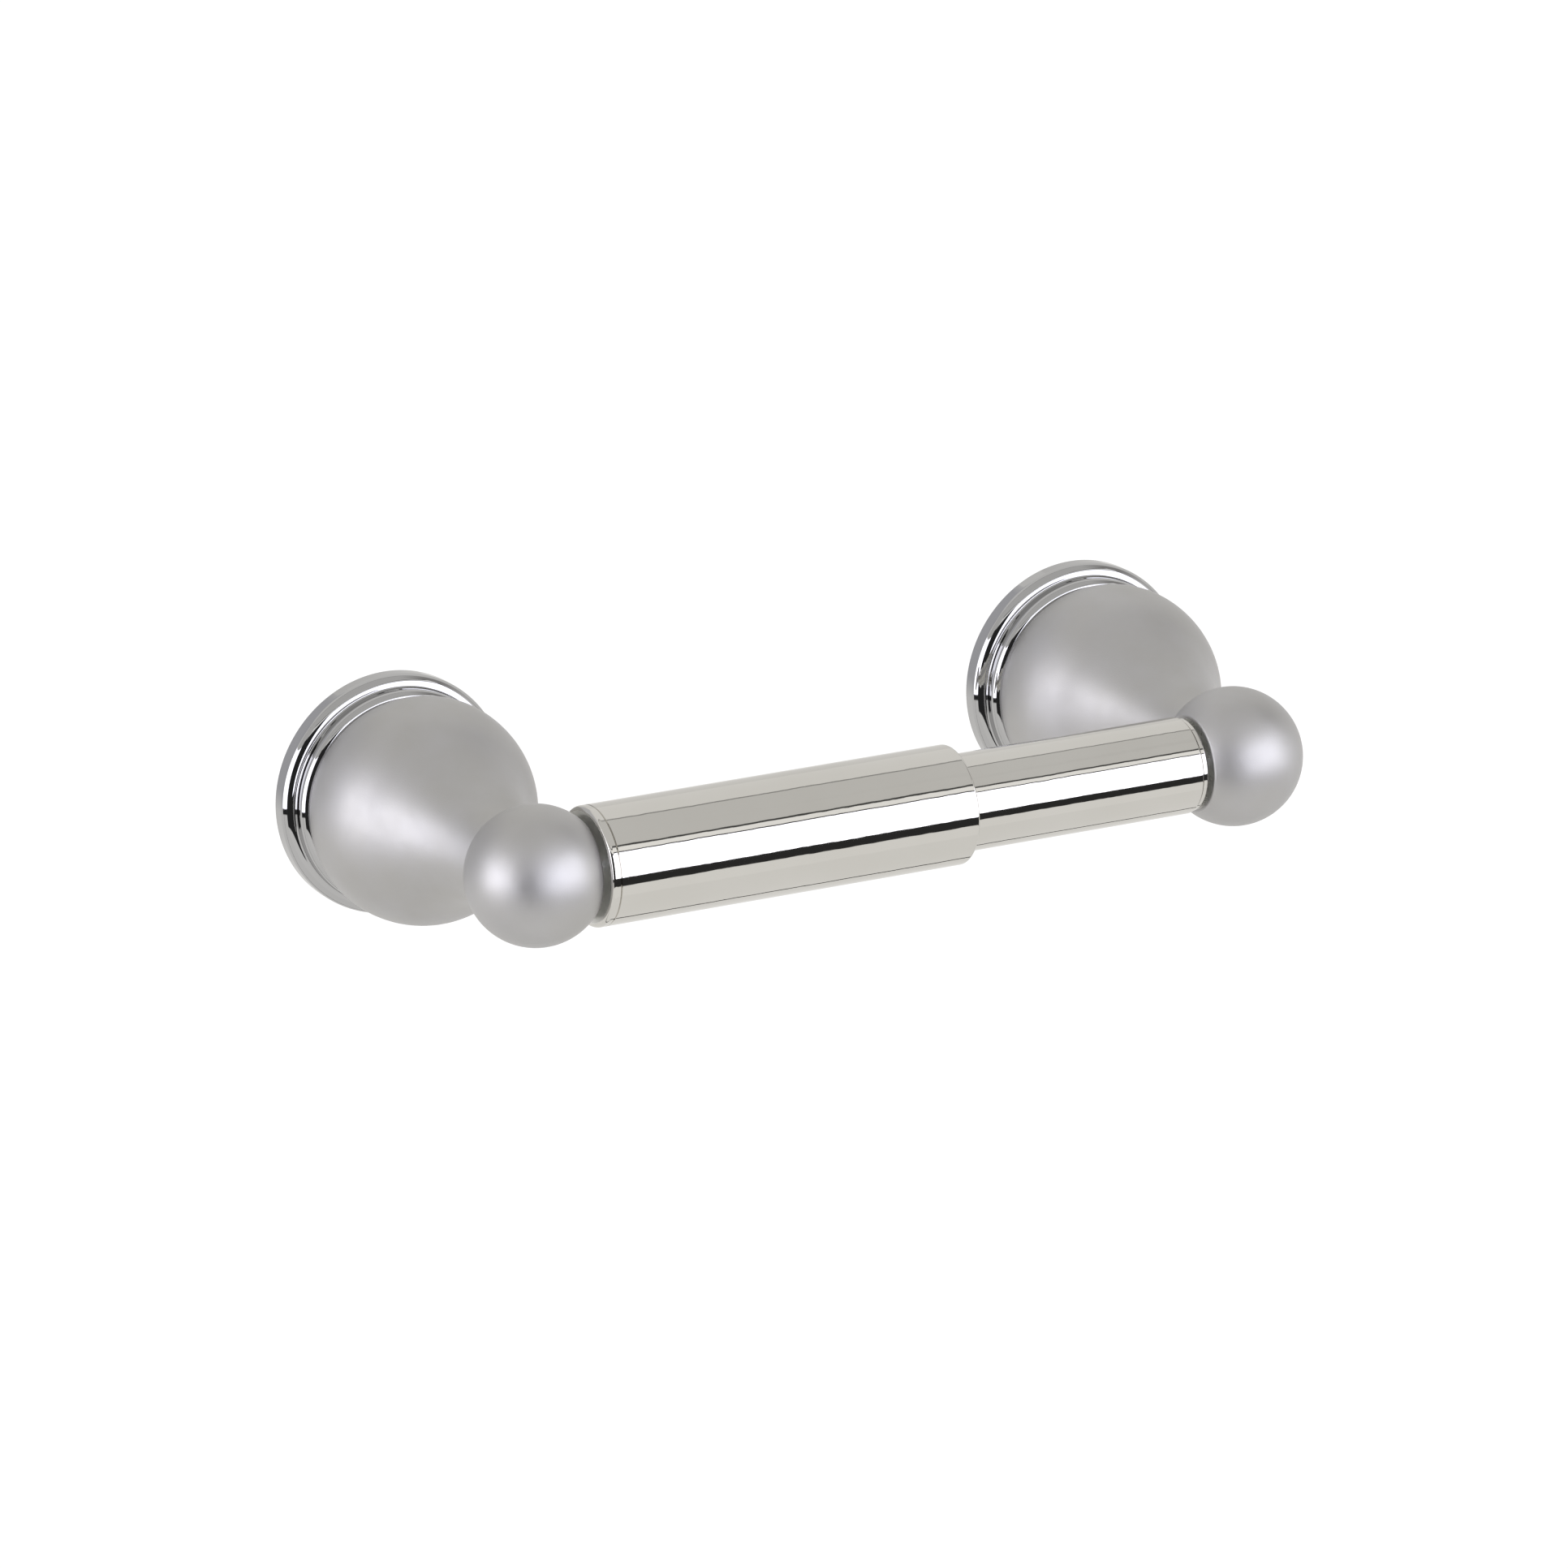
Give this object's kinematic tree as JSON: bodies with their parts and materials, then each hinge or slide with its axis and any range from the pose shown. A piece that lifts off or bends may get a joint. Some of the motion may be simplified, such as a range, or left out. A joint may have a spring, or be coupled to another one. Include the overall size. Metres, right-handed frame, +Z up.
{
  "type": "toilet paper holder",
  "caption": "Wall-mounted toilet paper holder: round flanged posts with balls carry a sprung telescopic roller that compresses to load a roll.",
  "frame": {"origin": "on the wall plane, midway between the two posts, at the height of the post axes", "axes": "+X from the left post to the right post, +Y into the wall, so the front is -Y, +Z up"},
  "size_m": [0.216, 0.0853, 0.052],
  "materials": {
    "satin": "satin nickel plate, blasted, soft sheen",
    "polished": "polished chrome plate",
    "zinc": "die-cast zinc, passivated",
    "steel": "zinc-plated steel fastener",
    "spring_steel": "drawn spring wire",
    "nylon": "natural nylon"
  },
  "bodies": {
    "posts": {"left_wall_bracket": "zinc", "left_base_ring": "polished", "left_dome": "satin", "left_ball": "satin", "left_post_stud": "steel", "left_post_nut": "steel", "left_lock_washer": "steel", "left_set_screw": "steel", "right_wall_bracket": "zinc", "right_base_ring": "polished", "right_dome": "satin", "right_ball": "satin", "right_post_stud": "steel", "right_post_nut": "steel", "right_lock_washer": "steel", "right_set_screw": "steel"},
    "outer_roller": {"outer_tube": "polished", "outer_end_cap": "polished", "roller_spring": "spring_steel"},
    "slider": {"guide_collar": "nylon"},
    "inner_roller": {"inner_tube": "polished", "inner_end_cap": "polished"}
  },
  "joints": [
    {"name": "roller_spin", "type": "hinge", "parent": "posts", "child": "outer_roller", "pos_m": [0, -0.0705, 0], "axis": [1, 0, 0], "continuous": true},
    {"name": "roller_compress", "type": "slide", "parent": "outer_roller", "child": "slider", "axis": [-1, 0, 0], "range_m": [0, 0.018], "stiffness_N_per_m": 350, "springref_m": -0.012, "deforming": ["roller_spring"]},
    {"name": "inner_spin", "type": "hinge", "parent": "slider", "child": "inner_roller", "pos_m": [0, -0.0705, 0], "axis": [1, 0, 0], "continuous": true}
  ]
}
